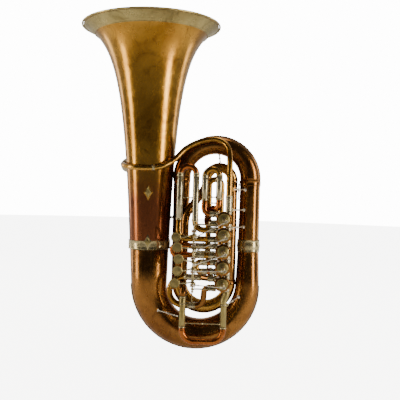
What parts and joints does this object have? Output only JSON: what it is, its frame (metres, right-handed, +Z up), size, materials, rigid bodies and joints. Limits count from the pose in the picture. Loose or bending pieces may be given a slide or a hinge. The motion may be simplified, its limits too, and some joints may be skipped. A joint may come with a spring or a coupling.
{
  "type": "tuba",
  "caption": "Upright rotary-valve tuba in raw brass: flared bell, nested bows, pull-out tuning slides, spring levers linked to the rotors, and a backward mouthpiece.",
  "frame": {"origin": "the lowest point of the bottom bow, where a stand carries the tuba", "axes": "+Z up along the bell, +X from the bell to the right limb, +Y backward to the player; the valves are at the front, -Y"},
  "size_m": [0.5936, 0.445, 1.035],
  "materials": {
    "brass": "raw brass, aged to a golden brown, softly polished",
    "red_brass": "raw brass with a dark red-brown patina",
    "copper": "copper-rich brass crook, worn and reddish",
    "nickel_silver": "nickel silver, yellowed, satin",
    "rotor_brass": "machined brass",
    "steel": "polished rod"
  },
  "bodies": {
    "root": {"bell": "brass", "inner_bottom_bow": "brass", "inner_top_bow": "brass", "leadpipe": "brass", "bottom_bow": "red_brass", "outer_branch": "red_brass", "top_bow": "red_brass", "inner_branch": "red_brass", "inner_riser": "red_brass", "tuning_return": "red_brass", "garland": "nickel_silver", "bell_ferrule": "nickel_silver", "badge": "nickel_silver", "bottom_guard": "nickel_silver", "top_guard": "nickel_silver", "limb_ferrule": "nickel_silver", "top_ferrule_right": "nickel_silver", "receiver": "nickel_silver", "main_slide_sleeves": "nickel_silver", "hinge_rod": "nickel_silver", "brace_upper": "nickel_silver", "brace_lower_right": "nickel_silver", "brace_lower_left": "nickel_silver", "valve_1_casing": "nickel_silver", "valve_1_tubing": "nickel_silver", "spring_drum_1": "nickel_silver", "valve_2_casing": "nickel_silver", "valve_2_tubing": "nickel_silver", "spring_drum_2": "nickel_silver", "valve_3_casing": "nickel_silver", "valve_3_tubing": "nickel_silver", "spring_drum_3": "nickel_silver", "valve_4_casing": "nickel_silver", "valve_4_tubing": "nickel_silver", "spring_drum_4": "nickel_silver", "valve_5_casing": "nickel_silver", "valve_5_tubing": "nickel_silver", "spring_drum_5": "nickel_silver"},
    "valve_1_slide": {"valve_1_slide": "brass"},
    "valve_2_slide": {"valve_2_slide": "copper"},
    "valve_3_slide": {"valve_3_slide": "brass"},
    "valve_4_slide": {"valve_4_slide": "copper"},
    "valve_5_slide": {"valve_5_slide": "brass"},
    "main_slide": {"main_slide": "copper"},
    "mouthpiece": {"mouthpiece": "nickel_silver"},
    "lever_1": {"lever_1": "nickel_silver"},
    "rotor_1": {"valve_1_rotor": "rotor_brass"},
    "link_1": {"link_1": "steel"},
    "lever_2": {"lever_2": "nickel_silver"},
    "rotor_2": {"valve_2_rotor": "rotor_brass"},
    "link_2": {"link_2": "steel"},
    "lever_3": {"lever_3": "nickel_silver"},
    "rotor_3": {"valve_3_rotor": "rotor_brass"},
    "link_3": {"link_3": "steel"},
    "lever_4": {"lever_4": "nickel_silver"},
    "rotor_4": {"valve_4_rotor": "rotor_brass"},
    "link_4": {"link_4": "steel"},
    "lever_5": {"lever_5": "nickel_silver"},
    "rotor_5": {"valve_5_rotor": "rotor_brass"},
    "link_5": {"link_5": "steel"}
  },
  "joints": [
    {"name": "valve_1_slide_pull", "type": "slide", "parent": "root", "child": "valve_1_slide", "axis": [0, 0, 1], "range_m": [0, 0.05]},
    {"name": "valve_2_slide_pull", "type": "slide", "parent": "root", "child": "valve_2_slide", "axis": [0, 0, 1], "range_m": [0, 0.07]},
    {"name": "valve_3_slide_pull", "type": "slide", "parent": "root", "child": "valve_3_slide", "axis": [-1, 0, 0], "range_m": [0, 0.045]},
    {"name": "valve_4_slide_pull", "type": "slide", "parent": "root", "child": "valve_4_slide", "axis": [-1, 0, 0], "range_m": [0, 0.02]},
    {"name": "valve_5_slide_pull", "type": "slide", "parent": "root", "child": "valve_5_slide", "axis": [-1, 0, 0], "range_m": [0, 0.03]},
    {"name": "main_slide_pull", "type": "slide", "parent": "root", "child": "main_slide", "axis": [0, 0, -1], "range_m": [0, 0.034]},
    {"name": "mouthpiece_pull", "type": "slide", "parent": "root", "child": "mouthpiece", "axis": [0, 1, 0], "range_m": [0, 0.03]},
    {"name": "lever_1_press", "type": "hinge", "parent": "root", "child": "lever_1", "pos_m": [-0.017, -0.114, 0.374], "axis": [0, 0, -1], "range_deg": [0, 26], "stiffness_Nm_per_rad": 0.25, "springref_deg": -28.65},
    {"name": "rotor_1_turn", "type": "hinge", "parent": "root", "child": "rotor_1", "pos_m": [0.073, -0.094, 0.423], "axis": [0, 1, 0], "range_deg": [0, 90]},
    {"name": "link_1_swing", "type": "hinge", "parent": "rotor_1", "child": "link_1", "pos_m": [0.07936, -0.14158, 0.41664], "axis": [0, 1, 0], "range_deg": [-90, 0]},
    {"name": "lever_2_press", "type": "hinge", "parent": "root", "child": "lever_2", "pos_m": [-0.017, -0.114, 0.3328], "axis": [0, 0, -1], "range_deg": [0, 26], "stiffness_Nm_per_rad": 0.25, "springref_deg": -28.65},
    {"name": "rotor_2_turn", "type": "hinge", "parent": "root", "child": "rotor_2", "pos_m": [0.073, -0.094, 0.3735], "axis": [0, 1, 0], "range_deg": [0, 90]},
    {"name": "link_2_swing", "type": "hinge", "parent": "rotor_2", "child": "link_2", "pos_m": [0.07936, -0.14158, 0.36714], "axis": [0, 1, 0], "range_deg": [-90, 0]},
    {"name": "lever_3_press", "type": "hinge", "parent": "root", "child": "lever_3", "pos_m": [-0.017, -0.114, 0.2916], "axis": [0, 0, -1], "range_deg": [0, 26], "stiffness_Nm_per_rad": 0.25, "springref_deg": -28.65},
    {"name": "rotor_3_turn", "type": "hinge", "parent": "root", "child": "rotor_3", "pos_m": [0.073, -0.094, 0.324], "axis": [0, 1, 0], "range_deg": [0, 90]},
    {"name": "link_3_swing", "type": "hinge", "parent": "rotor_3", "child": "link_3", "pos_m": [0.07936, -0.14158, 0.31764], "axis": [0, 1, 0], "range_deg": [-90, 0]},
    {"name": "lever_4_press", "type": "hinge", "parent": "root", "child": "lever_4", "pos_m": [-0.017, -0.114, 0.2714], "axis": [0, 0, -1], "range_deg": [0, 26], "stiffness_Nm_per_rad": 0.25, "springref_deg": -28.65},
    {"name": "rotor_4_turn", "type": "hinge", "parent": "root", "child": "rotor_4", "pos_m": [0.073, -0.094, 0.2745], "axis": [0, 1, 0], "range_deg": [0, 90]},
    {"name": "link_4_swing", "type": "hinge", "parent": "rotor_4", "child": "link_4", "pos_m": [0.07936, -0.14158, 0.26814], "axis": [0, 1, 0], "range_deg": [-90, 0]},
    {"name": "lever_5_press", "type": "hinge", "parent": "root", "child": "lever_5", "pos_m": [-0.017, -0.114, 0.2302], "axis": [0, 0, -1], "range_deg": [0, 26], "stiffness_Nm_per_rad": 0.25, "springref_deg": -28.65},
    {"name": "rotor_5_turn", "type": "hinge", "parent": "root", "child": "rotor_5", "pos_m": [0.073, -0.094, 0.225], "axis": [0, 1, 0], "range_deg": [0, 90]},
    {"name": "link_5_swing", "type": "hinge", "parent": "rotor_5", "child": "link_5", "pos_m": [0.07936, -0.14158, 0.21864], "axis": [0, 1, 0], "range_deg": [-90, 0]}
  ],
  "couplings": [
    {"joint": "rotor_1_turn", "follows": "lever_1_press", "ratio": 3.461},
    {"joint": "link_1_swing", "follows": "lever_1_press", "ratio": -3.461},
    {"joint": "rotor_2_turn", "follows": "lever_2_press", "ratio": 3.461},
    {"joint": "link_2_swing", "follows": "lever_2_press", "ratio": -3.461},
    {"joint": "rotor_3_turn", "follows": "lever_3_press", "ratio": 3.461},
    {"joint": "link_3_swing", "follows": "lever_3_press", "ratio": -3.461},
    {"joint": "rotor_4_turn", "follows": "lever_4_press", "ratio": 3.461},
    {"joint": "link_4_swing", "follows": "lever_4_press", "ratio": -3.461},
    {"joint": "rotor_5_turn", "follows": "lever_5_press", "ratio": 3.461},
    {"joint": "link_5_swing", "follows": "lever_5_press", "ratio": -3.461}
  ]
}
